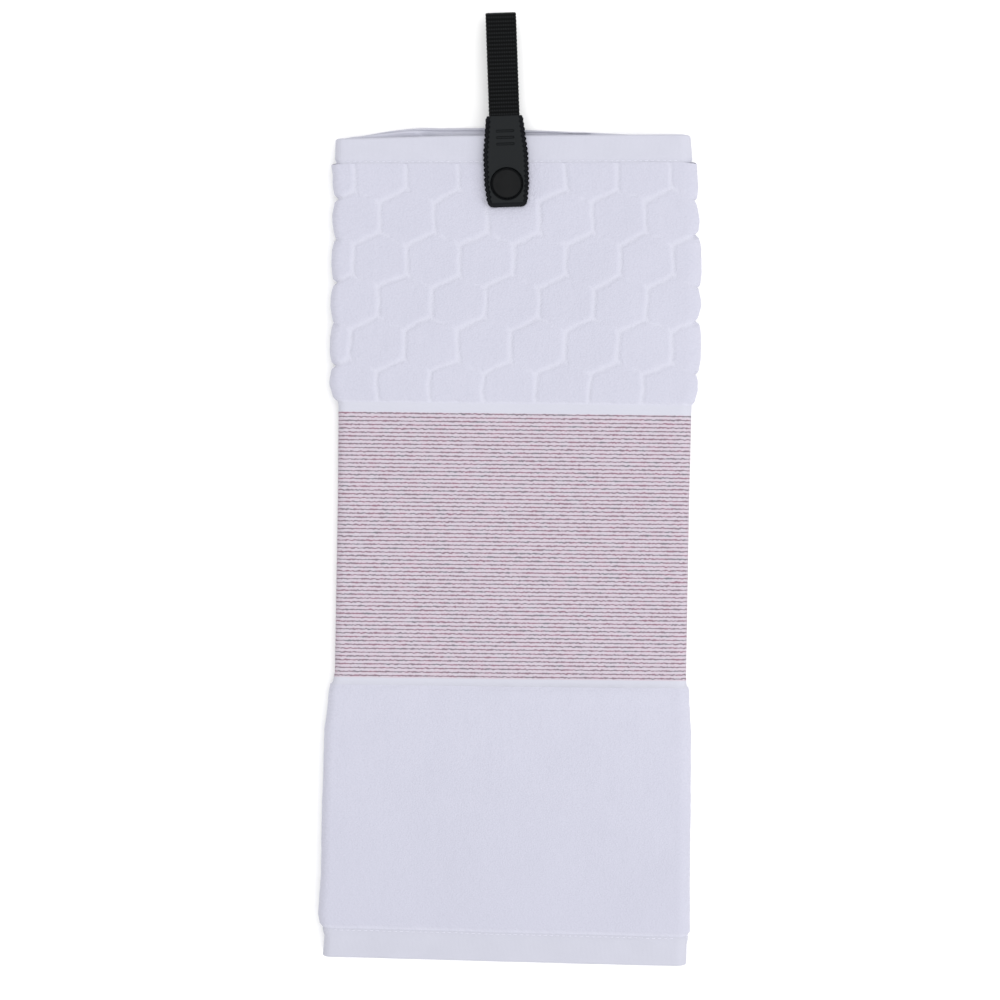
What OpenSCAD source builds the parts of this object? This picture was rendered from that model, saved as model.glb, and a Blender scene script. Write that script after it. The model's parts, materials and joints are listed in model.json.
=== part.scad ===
// Golf towel with a snap strap: a terry towel folded in three along its length, lying face up, with a
// black webbing loop snapped through an eyelet near its top edge.
// +Z is up, +Y runs from the bottom hem to the strap, and the origin is at the bottom centre of the whole.
// The towel has three leaves: the front leaf on top, the inner flap behind it, joined at the left fold, and
// the outer flap at the bottom, joined at the right fold.

/* [Towel] */
// Width of the folded towel over both rolled folds
towel_w = 178; // [160:1:200]
// Length of the towel from the top hem's edge to the bottom hem's edge
towel_len = 406; // [390:1:440]
// Depth of the top hem
top_hem_len = 13; // [10:0.5:16]
// Length of the sculpted honeycomb terry
honeycomb_len = 118.5; // [100:0.5:130]
// Length of the flat woven band with its plain borders
band_len = 139; // [120:0.5:160]
// Depth of the bottom hem
bottom_hem_len = 14.5; // [10:0.5:16]
// Depth of the side hem on each flap's free edge
side_hem_len = 11; // [8:0.5:14]

/* [Cloth] */
// Thickness of the looped terry
terry_t = 3.6; // [3.4:0.1:4]
// Thickness of a sewn hem
hem_t = 3.2; // [2.8:0.1:3.4]
// Thickness of the flat woven band
band_t = 2.4; // [2:0.1:2.8]
// Air gap between two leaves
leaf_gap = 0.4; // [0.3:0.1:0.6]
// Radius of the hem's sewing thread
thread_r = 0.15; // [0.1:0.01:0.15]

/* [Strap] */
// Width of the webbing
webbing_w = 15; // [12:0.5:18]
// Thickness of the webbing
webbing_t = 1.4; // [1.2:0.1:1.6]
// Distance from the snap's centre to the crown of the loop
crown_reach = 84.9; // [75:0.1:95]
// Lean of the strap to the left at rest, in degrees
strap_lean = 2.7; // [0:0.1:6]
// Distance of the snap's centre below the towel's top edge
snap_drop = 23.6; // [21:0.1:26]
// Distance of the snap's centre to the left of the towel's centre line
snap_offset = 3.9; // [0:0.1:6]

/* [Tabs] */
// Reach of a tab above the snap's centre
tab_reach = 33.5; // [31:0.5:36]
// Reach of a tab below the snap's centre
tab_tail = 11.3; // [10:0.1:13]
// Width of a tab at its top end
tab_top_w = 17.6; // [17:0.1:20]
// Width of a tab at its widest
tab_w = 21.6; // [20:0.1:24]
// Thickness of the front tab
front_tab_t = 3.2; // [3.2:0.1:3.6]
// Thickness of the rear tab
rear_tab_t = 2.2; // [2.2:0.1:2.3]
// Pitch of the bumps along a tab's sides
bump_pitch = 2.45; // [2.2:0.05:2.5]

/* [Snap] */
// Radius of the snap's cap
cap_r = 7.2; // [7:0.1:8]
// Radius of the socket and of the rear cap
socket_r = 5.5; // [5.3:0.1:5.8]
// Radius of the stud's head
stud_r = 2.9; // [2.6:0.1:3.1]
// Radius of the post's pin
post_r = 2.1; // [1.9:0.1:2.2]

/* [Hidden] */
$fn = 64;

body_gap = 0.3;   // air between bodies that move past each other
zone_lap = 0.01;  // overlap that joins a fold's zones into one solid
seam_inset = 1;   // distance of a hem's stitching from the hem's turned edge
terry_len = towel_len - top_hem_len - honeycomb_len - band_len - bottom_hem_len;

// The towel's zones from top to bottom: name, length and thickness
zones = [
    ["top_hem", top_hem_len, hem_t],
    ["honeycomb", honeycomb_len, terry_t],
    ["band", band_len, band_t],
    ["terry", terry_len, terry_t],
    ["bottom_hem", bottom_hem_len, hem_t]
];
function length_above(zone) = zone == 0 ? 0 : length_above(zone - 1) + zones[zone - 1][1];

// The strap's highest corner sets the total length, and the box's centre is the origin
crown_height = crown_reach * cos(strap_lean) + webbing_w / 2 * sin(strap_lean);
total_len = towel_len - snap_drop + crown_height;
towel_top = total_len / 2 - crown_height + snap_drop;
snap_x = -snap_offset;
snap_y = towel_top - snap_drop;

// Mid-heights of the three leaves
leaf_pitch = terry_t + leaf_gap;
outer_z = terry_t / 2;
inner_z = outer_z + leaf_pitch;
front_z = inner_z + leaf_pitch;
front_top = front_z + terry_t / 2;

// The left fold turns from the front leaf to the inner flap, and the right fold to the outer flap
left_fold_z = (front_z + inner_z) / 2;
right_fold_z = (front_z + outer_z) / 2;
left_fold_r = (front_z - inner_z) / 2;
right_fold_r = (front_z - outer_z) / 2;
left_x = -towel_w / 2 + left_fold_r + terry_t / 2;
right_x = towel_w / 2 - right_fold_r - terry_t / 2;
inner_end_x = right_x - right_fold_r - 0.2;   // clear of the right fold's roll
outer_end_x = left_x + 3;
outer_start_x = right_x - leaf_gap;

// Heights of the strap's pieces
rear_tab_top = front_z - terry_t / 2 - body_gap;
rear_tab_z = rear_tab_top - rear_tab_t;
rear_webbing_z = rear_tab_z + rear_tab_t / 2;
front_tab_z = front_top + body_gap;
front_tab_top = front_tab_z + front_tab_t;
front_webbing_z = front_tab_z + front_tab_t / 2;
crown_z = (rear_webbing_z + front_webbing_z) / 2;
crown_r = (front_webbing_z - rear_webbing_z) / 2;
crown_y = crown_reach - crown_r - webbing_t / 2;
webbing_grip = 8;  // how far each webbing end runs into its tab

// Snap and eyelet
flange_t = 0.5;
flange_r = 5.4;
flange_sink = 0.1;
barrel_r = 3.1;
eyelet_bore_r = 2.5;
stud_base_t = 0.4;
stud_base_r = 4.6;
stud_base_z = front_top + 0.1;
stud_head_t = 1.2;
socket_z = front_tab_z + body_gap;
socket_top = front_tab_z + 1.9;
socket_bore_r = stud_r + 0.05;
prong_r = 1.6;
cap_seat = 0.5;
cap_groove = 0.8;
cap_t = 1;
rear_cap_t = 0.7;

// Tab outline
tab_corner_r = 3;
tab_tail_w = 19.6;
tab_shoulder = 15;     // height above the snap where the tab reaches its full width
bump_r = 0.9;
bump_inset = 0.55;     // how far a bump's centre sits inside the tab's side
corner_gap = 3.8;      // height of the lowest bump above the tab's tail
bumps = 17;
rib_count = 3;
rib_w = 1.2;
rib_len = 9;
rib_pitch = 3.2;
rib_depth = 0.4;
rib_first = 19.5;

// Room in the inner flap for the rear tab over the strap's swing
pocket_r = 17;
pocket_half_w = 38;
pocket_reach = snap_drop + 1;
pocket_floor = rear_tab_z - body_gap;

cloth_colour = [0.86, 0.86, 0.91];
hem_colour = [0.83, 0.83, 0.89];
band_colour = [0.84, 0.75, 0.79];
thread_colour = [0.93, 0.93, 0.96];
rubber_colour = [0.16, 0.17, 0.18];
webbing_colour = [0.1, 0.11, 0.12];
snap_colour = [0.13, 0.13, 0.14];
metal_colour = [0.7, 0.66, 0.55];

// One zone of a leaf: a slab from x0 to x1 at mid-height z
module leaf_zone(zone, x0, x1, z) {
    length = zones[zone][1];
    thickness = zones[zone][2];
    translate([x0, towel_top - length_above(zone) - length, z - thickness / 2])
        cube([x1 - x0, length, thickness]);
}

// A fold's half-round bulge along every zone, turning at height z with mid-radius r; side is 1 for the right
module fold_roll(x, z, r, side) {
    for (zone = [0 : len(zones) - 1]) {
        length = zones[zone][1];
        thickness = zones[zone][2];
        lap = zone < len(zones) - 1 ? zone_lap : 0;
        translate([x, towel_top - length_above(zone), z])
            rotate([90, 0, 0])
            linear_extrude(length + lap)
            intersection() {
                difference() {
                    circle(r + thickness / 2);
                    circle(r - thickness / 2);
                }
                translate([side > 0 ? 0 : -2 * r - thickness, -r - thickness])
                    square([2 * r + thickness, 2 * (r + thickness)]);
            }
    }
}

// Places a child at the snap's centre, turned with the strap's lean
module at_snap() {
    translate([snap_x, snap_y, 0])
        rotate([0, 0, strap_lean])
        children();
}

module disc(r, z0, z1) {
    translate([0, 0, z0])
        cylinder(h = z1 - z0, r = r);
}

// Front leaf
module front_top_hem() {
    color(hem_colour) leaf_zone(0, left_x, right_x, front_z);
}

module front_honeycomb() {
    color(cloth_colour)
        difference() {
            leaf_zone(1, left_x, right_x, front_z);
            at_snap() {
                disc(barrel_r, front_z - terry_t, front_z + terry_t);
                disc(flange_r, front_top - flange_sink - flange_t, front_top + 1);
                disc(flange_r, front_z - terry_t, front_z - terry_t / 2 + flange_sink + flange_t);
            }
        }
}

module front_band() {
    color(band_colour) leaf_zone(2, left_x, right_x, front_z);
}

module front_terry() {
    color(cloth_colour) leaf_zone(3, left_x, right_x, front_z);
}

module front_bottom_hem() {
    color(hem_colour) leaf_zone(4, left_x, right_x, front_z);
}

// Rolled folds
module left_fold() {
    color(cloth_colour) fold_roll(left_x, left_fold_z, left_fold_r, -1);
}

module right_fold() {
    color(cloth_colour) fold_roll(right_x, right_fold_z, right_fold_r, 1);
}

// Room for the rear tab: a fan from the snap to the top edge
module rear_tab_pocket() {
    translate([snap_x, snap_y, pocket_floor])
        linear_extrude(terry_t)
        union() {
            circle(pocket_r);
            polygon([
                [-pocket_r, 0], [-pocket_half_w, pocket_reach],
                [pocket_half_w, pocket_reach], [pocket_r, 0]
            ]);
        }
}

// Inner flap, joined to the front leaf at the left fold
module inner_zone(zone) {
    leaf_zone(zone, left_x, inner_end_x - side_hem_len, inner_z);
}

module inner_top_hem() {
    color(hem_colour)
        difference() {
            inner_zone(0);
            rear_tab_pocket();
        }
}

module inner_honeycomb() {
    color(cloth_colour)
        difference() {
            inner_zone(1);
            rear_tab_pocket();
        }
}

module inner_band() {
    color(band_colour) inner_zone(2);
}

module inner_terry() {
    color(cloth_colour) inner_zone(3);
}

module inner_bottom_hem() {
    color(hem_colour) inner_zone(4);
}

// A side hem along a flap's whole free edge
module side_hem(x, z) {
    translate([x, towel_top - towel_len, z - hem_t / 2])
        cube([side_hem_len, towel_len, hem_t]);
}

module inner_side_hem() {
    color(hem_colour) side_hem(inner_end_x - side_hem_len, inner_z);
}

// Outer flap, joined to the front leaf at the right fold
module outer_zone(zone) {
    leaf_zone(zone, outer_end_x + side_hem_len, outer_start_x, outer_z);
}

module outer_top_hem() {
    color(hem_colour) outer_zone(0);
}

module outer_honeycomb() {
    color(cloth_colour) outer_zone(1);
}

module outer_band() {
    color(band_colour) outer_zone(2);
}

module outer_terry() {
    color(cloth_colour) outer_zone(3);
}

module outer_bottom_hem() {
    color(hem_colour) outer_zone(4);
}

module outer_side_hem() {
    color(hem_colour) side_hem(outer_end_x, outer_z);
}

// The rows of lockstitch along a leaf's two end hems, each as one thread lying on a face of the hem
module hem_threads(x0, x1, z) {
    end_inset = 2;
    for (y = [towel_top - top_hem_len + seam_inset, towel_top - towel_len + bottom_hem_len - seam_inset])
        translate([x0 + end_inset, y, z])
            rotate([0, 90, 0])
            cylinder(h = x1 - x0 - 2 * end_inset, r = thread_r, $fn = 16);
}

module front_hem_threads() {
    color(thread_colour) hem_threads(left_x, right_x, front_z + hem_t / 2 + thread_r);
}

module inner_hem_threads() {
    color(thread_colour) hem_threads(left_x, inner_end_x - side_hem_len, inner_z - hem_t / 2 - thread_r);
}

module outer_hem_threads() {
    color(thread_colour)
        hem_threads(outer_end_x + side_hem_len, outer_start_x, outer_z + hem_t / 2 + thread_r);
}

// Eyelet: a barrel through the front leaf with a flange sunk into each face
module towel_eyelet() {
    leaf_bottom = front_z - terry_t / 2;
    color(metal_colour)
        at_snap()
        difference() {
            union() {
                disc(barrel_r, leaf_bottom + flange_sink, front_top - flange_sink);
                disc(flange_r, leaf_bottom + flange_sink, leaf_bottom + flange_sink + flange_t);
                disc(flange_r, front_top - flange_sink - flange_t, front_top - flange_sink);
            }
            disc(eyelet_bore_r, leaf_bottom - 1, front_top + 1);
        }
}

// Outline of a tab about the snap's centre, with a bumped edge along its full-width sides
module tab_outline() {
    corner_x = tab_tail_w / 2 - tab_corner_r;
    corner_y = -tab_tail + tab_corner_r;
    union() {
        polygon([
            [-tab_top_w / 2, tab_reach], [-tab_w / 2, tab_shoulder],
            [-tab_w / 2, 0], [-tab_tail_w / 2, corner_y],
            [tab_tail_w / 2, corner_y], [tab_w / 2, 0],
            [tab_w / 2, tab_shoulder], [tab_top_w / 2, tab_reach]
        ]);
        for (side = [-1, 1])
            translate([side * corner_x, corner_y])
                circle(tab_corner_r);
        translate([-corner_x, -tab_tail])
            square([2 * corner_x, tab_tail + corner_y]);
        for (side = [-1, 1], i = [0 : bumps - 1])
            translate([side * bump_x(bump_y(i)), bump_y(i)])
                circle(bump_r, $fn = 24);
    }
}

// Height of a bump's centre, counted from the tail's corner
function bump_y(i) = corner_gap - tab_tail + i * bump_pitch;

// Distance of a bump's centre from the tab's middle, set in so that the bump stands out a little
function bump_x(y) = tab_half_w(y) - bump_inset;

// Half-width of the tab's straight sides at height y
function tab_half_w(y) =
    y < 0 ? tab_w / 2 + (tab_w - tab_tail_w) / 2 * y / (tab_tail - tab_corner_r)
    : y < tab_shoulder ? tab_w / 2
    : tab_w / 2 - (tab_w - tab_top_w) / 2 * (y - tab_shoulder) / (tab_reach - tab_shoulder);

// The slot that holds a webbing end in a tab
module webbing_slot(z) {
    translate([-webbing_w / 2, tab_reach - webbing_grip, z - webbing_t / 2])
        cube([webbing_w, webbing_grip + 1, webbing_t]);
}

// Front tab: moulded rubber with a seat for the cap, a socket recess below, and three grip grooves
module front_tab() {
    color(rubber_colour)
        at_snap()
        difference() {
            translate([0, 0, front_tab_z])
                linear_extrude(front_tab_t)
                tab_outline();
            webbing_slot(front_webbing_z);
            disc(socket_r, front_tab_z - 1, socket_top);
            disc(cap_r + cap_groove, front_tab_top - cap_seat, front_tab_top + 1);
            disc(prong_r, front_tab_z, front_tab_top);
            for (i = [0 : rib_count - 1])
                translate([-rib_len / 2, rib_first + i * rib_pitch - rib_w / 2, front_tab_top - rib_depth])
                    cube([rib_len, rib_w, rib_depth + 1]);
        }
}

// Rear tab: the same outline, with a seat for the rear cap and a hole for its pin
module rear_tab() {
    color(rubber_colour)
        at_snap()
        difference() {
            translate([0, 0, rear_tab_z])
                linear_extrude(rear_tab_t)
                tab_outline();
            webbing_slot(rear_webbing_z);
            disc(socket_r, rear_tab_z - 1, rear_tab_z + rear_cap_t);
            disc(post_r, rear_tab_z - 1, rear_tab_top + 1);
        }
}

// A straight run of webbing from inside a tab to the crown
module webbing_run(z) {
    y0 = tab_reach - webbing_grip;
    translate([-webbing_w / 2, y0, z - webbing_t / 2])
        cube([webbing_w, crown_y - y0, webbing_t]);
}

module front_webbing() {
    color(webbing_colour) at_snap() webbing_run(front_webbing_z);
}

module rear_webbing() {
    color(webbing_colour) at_snap() webbing_run(rear_webbing_z);
}

// The half-round top of the loop, between the two runs
module webbing_crown() {
    color(webbing_colour)
        at_snap()
        translate([-webbing_w / 2, crown_y, crown_z])
        rotate([90, 0, 90])
        linear_extrude(webbing_w)
        intersection() {
            difference() {
                circle(crown_r + webbing_t / 2);
                circle(crown_r - webbing_t / 2);
            }
            translate([0, -2 * crown_r])
                square([2 * crown_r, 4 * crown_r]);
        }
}

// Snap cap: a shallow dome with a prong down through the tab into the socket
module snap_cap() {
    seat_z = front_tab_top - cap_seat;
    color(snap_colour)
        at_snap()
        union() {
            translate([0, 0, seat_z])
                rotate_extrude()
                polygon([
                    [0, 0], [cap_r, 0], [cap_r, cap_seat + 0.1], [cap_r - 0.5, cap_seat + 0.4],
                    [cap_r / 2, cap_seat + cap_t - 0.3], [0, cap_seat + cap_t - 0.2]
                ]);
            disc(prong_r, socket_top - 0.4, seat_z + 0.1);
        }
}

// Snap socket: a ring that grips the stud's head, closed above by a web with a hole for the prong
module snap_socket() {
    web_t = 0.4;
    color(snap_colour)
        at_snap()
        difference() {
            disc(socket_r, socket_z, socket_top);
            disc(socket_bore_r, socket_z - 1, socket_top - web_t);
            disc(prong_r, socket_z, socket_top + 1);
        }
}

// Snap stud: a base flange on the eyelet, a neck and a rounded head, bored for the post
module snap_stud() {
    head_z = stud_base_z + stud_base_t;
    color(snap_colour)
        at_snap()
        difference() {
            rotate_extrude()
                polygon([
                    [0, stud_base_z], [stud_base_r, stud_base_z], [stud_base_r, head_z],
                    [stud_r - 0.3, head_z], [stud_r, head_z + 0.4], [stud_r, head_z + 0.7],
                    [stud_r - 0.4, head_z + stud_head_t], [0, head_z + stud_head_t]
                ]);
            disc(post_r, stud_base_z - 1, head_z + stud_head_t - 0.4);
        }
}

// Snap post: the rear cap in its seat and the pin up through the eyelet into the stud
module snap_post() {
    pin_top = stud_base_z + stud_base_t + stud_head_t - 0.4;
    color(snap_colour)
        at_snap()
        union() {
            disc(socket_r, rear_tab_z, rear_tab_z + rear_cap_t);
            disc(post_r, rear_tab_z, pin_top);
        }
}

front_top_hem();
front_honeycomb();
front_band();
front_terry();
front_bottom_hem();
left_fold();
right_fold();
inner_top_hem();
inner_honeycomb();
inner_band();
inner_terry();
inner_bottom_hem();
inner_side_hem();
outer_top_hem();
outer_honeycomb();
outer_band();
outer_terry();
outer_bottom_hem();
outer_side_hem();
front_hem_threads();
inner_hem_threads();
outer_hem_threads();
towel_eyelet();
rear_tab();
rear_webbing();
snap_post();
snap_stud();
front_tab();
front_webbing();
webbing_crown();
snap_cap();
snap_socket();
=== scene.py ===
"""Looks for the folded golf towel: terry cloth, woven band, webbing loop, moulded tabs and press stud."""

import json
import math
from math import pi

import bpy
import numpy as np
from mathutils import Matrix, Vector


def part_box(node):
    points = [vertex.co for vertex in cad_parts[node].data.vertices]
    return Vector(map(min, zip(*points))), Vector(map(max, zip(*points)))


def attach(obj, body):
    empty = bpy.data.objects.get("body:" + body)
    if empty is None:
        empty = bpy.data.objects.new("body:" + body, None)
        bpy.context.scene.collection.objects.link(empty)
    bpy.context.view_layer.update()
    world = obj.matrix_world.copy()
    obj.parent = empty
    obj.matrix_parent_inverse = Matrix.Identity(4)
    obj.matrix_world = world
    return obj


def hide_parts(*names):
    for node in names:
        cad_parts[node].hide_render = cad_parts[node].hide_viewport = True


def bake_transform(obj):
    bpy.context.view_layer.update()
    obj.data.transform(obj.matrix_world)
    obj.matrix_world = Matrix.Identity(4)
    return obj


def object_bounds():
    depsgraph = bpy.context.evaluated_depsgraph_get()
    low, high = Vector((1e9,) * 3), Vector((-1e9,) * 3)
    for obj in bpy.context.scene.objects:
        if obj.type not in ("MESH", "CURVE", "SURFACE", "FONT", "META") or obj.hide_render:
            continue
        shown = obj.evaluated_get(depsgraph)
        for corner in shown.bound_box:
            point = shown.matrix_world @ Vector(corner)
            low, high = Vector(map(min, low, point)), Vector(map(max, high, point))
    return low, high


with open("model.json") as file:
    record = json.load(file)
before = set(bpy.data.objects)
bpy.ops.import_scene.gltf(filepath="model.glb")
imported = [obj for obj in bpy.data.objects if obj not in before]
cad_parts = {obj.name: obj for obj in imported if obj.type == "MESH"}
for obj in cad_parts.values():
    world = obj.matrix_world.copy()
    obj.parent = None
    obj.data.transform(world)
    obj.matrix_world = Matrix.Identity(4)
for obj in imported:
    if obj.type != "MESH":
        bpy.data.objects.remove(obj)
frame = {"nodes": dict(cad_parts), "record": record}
cad_box = [list(corner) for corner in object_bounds()]
joints = {joint["name"]: joint for joint in frame["record"]["behaviour"]["joints"]}

# All shapes below are worked out in millimetres and scaled once, in new_mesh().
MM = 0.001


def limits(node):
    """Lowest and highest corner of a CAD node, in millimetres."""
    return [np.array(corner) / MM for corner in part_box(node)]


def heights(node):
    """Middle height and half-thickness of a CAD node, in millimetres."""
    low, high = limits(node)
    return (low[2] + high[2]) / 2, (high[2] - low[2]) / 2


# ---- sizes that come from the frame
ZONES = ("top_hem", "honeycomb", "band", "terry", "bottom_hem")
TOP_Y = limits("front_top_hem")[1][1]
SPAN = {zone: tuple(TOP_Y - limits("front_" + zone)[end][1] for end in (1, 0)) for zone in ZONES}
LENGTH = SPAN["bottom_hem"][1]
LEFT_X, RIGHT_X = limits("front_terry")[0][0], limits("front_terry")[1][0]
FRONT_Z, INNER_Z, OUTER_Z = (heights(leaf + "_terry")[0] for leaf in ("front", "inner", "outer"))
LEFT_R, RIGHT_R = (FRONT_Z - INNER_Z) / 2, (FRONT_Z - OUTER_Z) / 2
TERRY_H, BAND_H, HEM_H = (heights("front_" + zone)[1] for zone in ("terry", "band", "top_hem"))
SIDE_HEM = limits("outer_side_hem")[1][0] - limits("outer_side_hem")[0][0]
INNER_END = limits("inner_side_hem")[1][0]
OUTER_END = limits("outer_side_hem")[0][0]

SNAP = np.array(joints["strap_swivel"]["pos_m"]) / MM
CLIP_AXIS = joints["snap_open"]["axis"]
LEAN = math.atan2(-CLIP_AXIS[1], -CLIP_AXIS[0])

# Distance across, measured along the cloth: 0 on the front leaf's centre, growing to the right and round the
# right fold onto the outer flap, and falling to the left and round the left fold onto the inner flap.
LEFT_SIDE = LEFT_X - LEFT_R * pi / 2
RIGHT_SIDE = RIGHT_X + RIGHT_R * pi / 2
INNER_START = LEFT_X - LEFT_R * pi
OUTER_START = RIGHT_X + RIGHT_R * pi
INNER_EDGE = INNER_START - (INNER_END - LEFT_X)
OUTER_EDGE = OUTER_START + (RIGHT_X - OUTER_END)


# ---- small maths
def ramp(value, start, end):
    """Smooth step from 0 at start to 1 at end."""
    t = np.clip((value - start) / (end - start), 0, 1)
    return t * t * (3 - 2 * t)


def noise(x, y, size, seed):
    """Smooth random field from -1 to 1 with features about size across."""
    lattice = np.random.default_rng(seed).uniform(-1, 1, (97, 89))
    gx, gy = np.asarray(x) / size, np.asarray(y) / size
    ix, iy = np.floor(gx).astype(int), np.floor(gy).astype(int)
    fx, fy = gx - ix, gy - iy
    fx, fy = fx * fx * (3 - 2 * fx), fy * fy * (3 - 2 * fy)

    def at(i, j):
        return lattice[i % 97, j % 89]

    low = at(ix, iy) * (1 - fx) + at(ix + 1, iy) * fx
    high = at(ix, iy + 1) * (1 - fx) + at(ix + 1, iy + 1) * fx
    return low * (1 - fy) + high * fy


def layered(x, y, layers):
    """Sum of noise fields, each given by its height, the size of its features and its seed."""
    return sum(height * noise(x, y, size, seed) for height, size, seed in layers)


def away_from_line(value, pitch, offset):
    """Distance from value to the nearest of a row of lines."""
    return np.abs((((value - offset) / pitch + 0.5) % 1) - 0.5) * pitch


# ---- the cloth's surface
CELL_W = 26.2  # width of a honeycomb cell
ROW_PITCH = 21.1  # distance between honeycomb rows
ZIGZAG = 3.1  # half the height of the zigzag between two rows
ZIGZAG_LINES = 5
PATTERN_LOW = -1.0  # how far the pattern sits below its zone's middle
PATTERN_SHIFT = 1.6  # how far it sits to the left at its top
PATTERN_SKEW = 0.8  # and how much farther at its bottom
GROOVE_FLOOR = 0.15  # half-width of a groove's flat bottom
GROOVE_EDGE = 2.1  # half-width of a groove at the top of the pile
GROOVE_H = 1.30  # half-thickness of the cloth in a groove
NAP_COVER = 0.96  # how much of a falling groove the leaning nap covers
PIT_DEPTH = 0.6  # how much of that is missing in a pit between two tufts
GROUND_H = 0.95  # half-thickness of the terry's ground weave where its pile ends
INNER_THIN = 0.12  # how much thinner the terry is on its inward side
PILE_START = 0.95, 1.0  # how far above its zone the pile starts, and over what length it rises
PILE_END = 2.2, 0.1  # how far above its zone's end it starts to fall, and below it ends
TUFT_SINK = 0.10  # how far the tufts lie down on average
STITCH_PULLS = 0.45, 0.25  # how deep the stitches pull the top hem in, and the bottom hem
SEAM_INSET = 0.9  # distance of a hem's stitches from its turned edge
EDGE_R = 1.1  # depth over which a turned hem rounds off at its fold
PUFF = 2.1  # how much the pile swells where the cloth turns at a fold
FOLD_GROOVE = 0.9  # how much deeper a groove is there
CROWN = 7.0  # distance from a zigzag line at which a row has its full swell
LAST_ROW = 12, 0.35  # length over which the last row loses swell, and the share it loses
PLAIN_SWELL = 0.25  # the plain terry's share of the swell
EYELET_SEAT_H = 1.15  # half-thickness of the cloth under the eyelet's flange
EYELET_SEAT = 5.7, 8.2  # radius of that seat, and of the slope round it
SLOPE_H = 9  # a height above all pile, which the slope runs up to
POCKET = 17, 23  # half-width of the pocket for the rear tab, and of the slope round it
POCKET_END = 21, 15  # how far below the snap that slope starts and ends
POCKET_SINK = 0.7  # how far the pocket's face lies beyond the cloth's mid-surface

# Unevenness, in layers of (height, size of its features, seed)
PITS = ((1, 1.7, 17),)
WOBBLE_ACROSS = (0.8, 9, 11), (0.35, 3.2, 12)
WOBBLE_DOWN = (0.7, 9, 13), (0.35, 3.2, 14)
RAGGED_PILE = (0.30, 1.5, 15), (0.20, 5, 16)
RAGGED_MEAN = 0.15
TUFTS = (0.07, 2.4, 21), (0.08, 6, 22)
STITCH_WANDER = ((0.12, 7, 41),)
EDGE_WANDER = ((2, 15, 31),)
STACK_RISE = (0.09, 46, 32), (0.03, 17, 33)
COMB_MIDDLE = sum(SPAN["honeycomb"]) / 2 + PATTERN_LOW
FIRST_LINE = COMB_MIDDLE - ROW_PITCH * (ZIGZAG_LINES - 1) / 2
SEAM_ROWS = SPAN["top_hem"][1] - SEAM_INSET, SPAN["bottom_hem"][0] + SEAM_INSET


def from_lines(across, down):
    """Distances to the honeycomb's nearest zigzag and upright lines, and 1 where that zigzag line falls to
    the right and 0 where it rises."""
    skew = PATTERN_SKEW * (down - FIRST_LINE) / (ROW_PITCH * (ZIGZAG_LINES - 1))
    across = across + PATTERN_SHIFT + skew + layered(across, down, WOBBLE_ACROSS)
    down = down + layered(across, down, WOBBLE_DOWN)
    row = np.zeros(np.shape(across))
    nearest, falling = np.full(np.shape(across), 99.0), np.zeros(np.shape(across))
    slope = math.cos(math.atan(4 * ZIGZAG / CELL_W))
    for index in range(ZIGZAG_LINES):
        shift = CELL_W / 2 * (index % 2)
        wave = 1 - 4 * away_from_line(across, CELL_W, shift) / CELL_W
        line = FIRST_LINE + index * ROW_PITCH - ZIGZAG * wave
        distance = np.abs(down - line) * slope
        side = ((across - shift) / CELL_W) % 1
        falls = ramp(side, 0.02, 0.12) * (1 - ramp(side, 0.40, 0.50))
        falling = np.where(distance < nearest, falls, falling)
        nearest = np.minimum(nearest, distance)
        row = row + (down > line)
    return nearest, away_from_line(across, CELL_W, CELL_W / 2 * (row % 2)), falling


def in_honeycomb(down):
    start, end = SPAN["honeycomb"]
    return (down > start) & (down < end)


def honeycomb(across, down):
    """Pile height over the sculpted terry: 1 on a cell and 0 in a groove. The nap leans down to the right and
    covers the grooves that fall that way, apart from pits between its tufts."""
    zigzag, upright, falling = from_lines(across, down)
    over_zigzag = ramp(zigzag, GROOVE_FLOOR, GROOVE_EDGE)
    pits = ramp(layered(across, down, PITS), 0.0, 0.6)
    covered = NAP_COVER * falling * (1 - PIT_DEPTH * pits)
    over_zigzag = over_zigzag + (1 - over_zigzag) * covered
    return over_zigzag * ramp(upright, GROOVE_FLOOR, GROOVE_EDGE)


def swell(across, down):
    """How far the pile swells at a fold, from 0 to 1: each honeycomb row rounds out between zigzag lines."""
    zigzag = from_lines(across, down)[0]
    end = SPAN["honeycomb"][1]
    crown = np.sqrt(np.clip(zigzag / CROWN, 0, 1)) * (1 - LAST_ROW[1] * ramp(down, end - LAST_ROW[0], end))
    return np.where(in_honeycomb(down), crown, PLAIN_SWELL)


def side_hem_share(across):
    """1 on a flap's side hem and 0 elsewhere."""
    to_edge = np.minimum(across - INNER_EDGE, OUTER_EDGE - across)
    return 1 - ramp(to_edge, SIDE_HEM - 0.6, SIDE_HEM + 0.4)


def pile(across, down):
    """Pile height from 0, no loops, to 1, full loops, over the whole cloth, with ragged ends to its zones."""
    height = np.zeros(np.shape(across))
    ragged = layered(across, down, RAGGED_PILE) + RAGGED_MEAN
    for zone in ("honeycomb", "terry"):
        start, end = SPAN[zone]
        rise, fall = start + ragged - PILE_START[0], end - ragged
        risen = ramp(down, rise, rise + PILE_START[1])
        height = height + risen * (1 - ramp(down, fall - PILE_END[0], fall + PILE_END[1]))
    return height * (1 - side_hem_share(across))


def ground(down, terry_h):
    """Half-thickness of the cloth without its pile."""
    hem_end, comb_end, band_end, terry_end = (SPAN[zone][1] for zone in ZONES[:4])
    return np.interp(
        down,
        [hem_end - 0.6, hem_end + 0.3, comb_end - 0.4, comb_end + 0.4, band_end - 0.4, band_end + 0.4,
         terry_end - 0.3, terry_end + 0.6],
        [HEM_H, terry_h, terry_h, BAND_H, BAND_H, terry_h, terry_h, HEM_H],
    )


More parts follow.
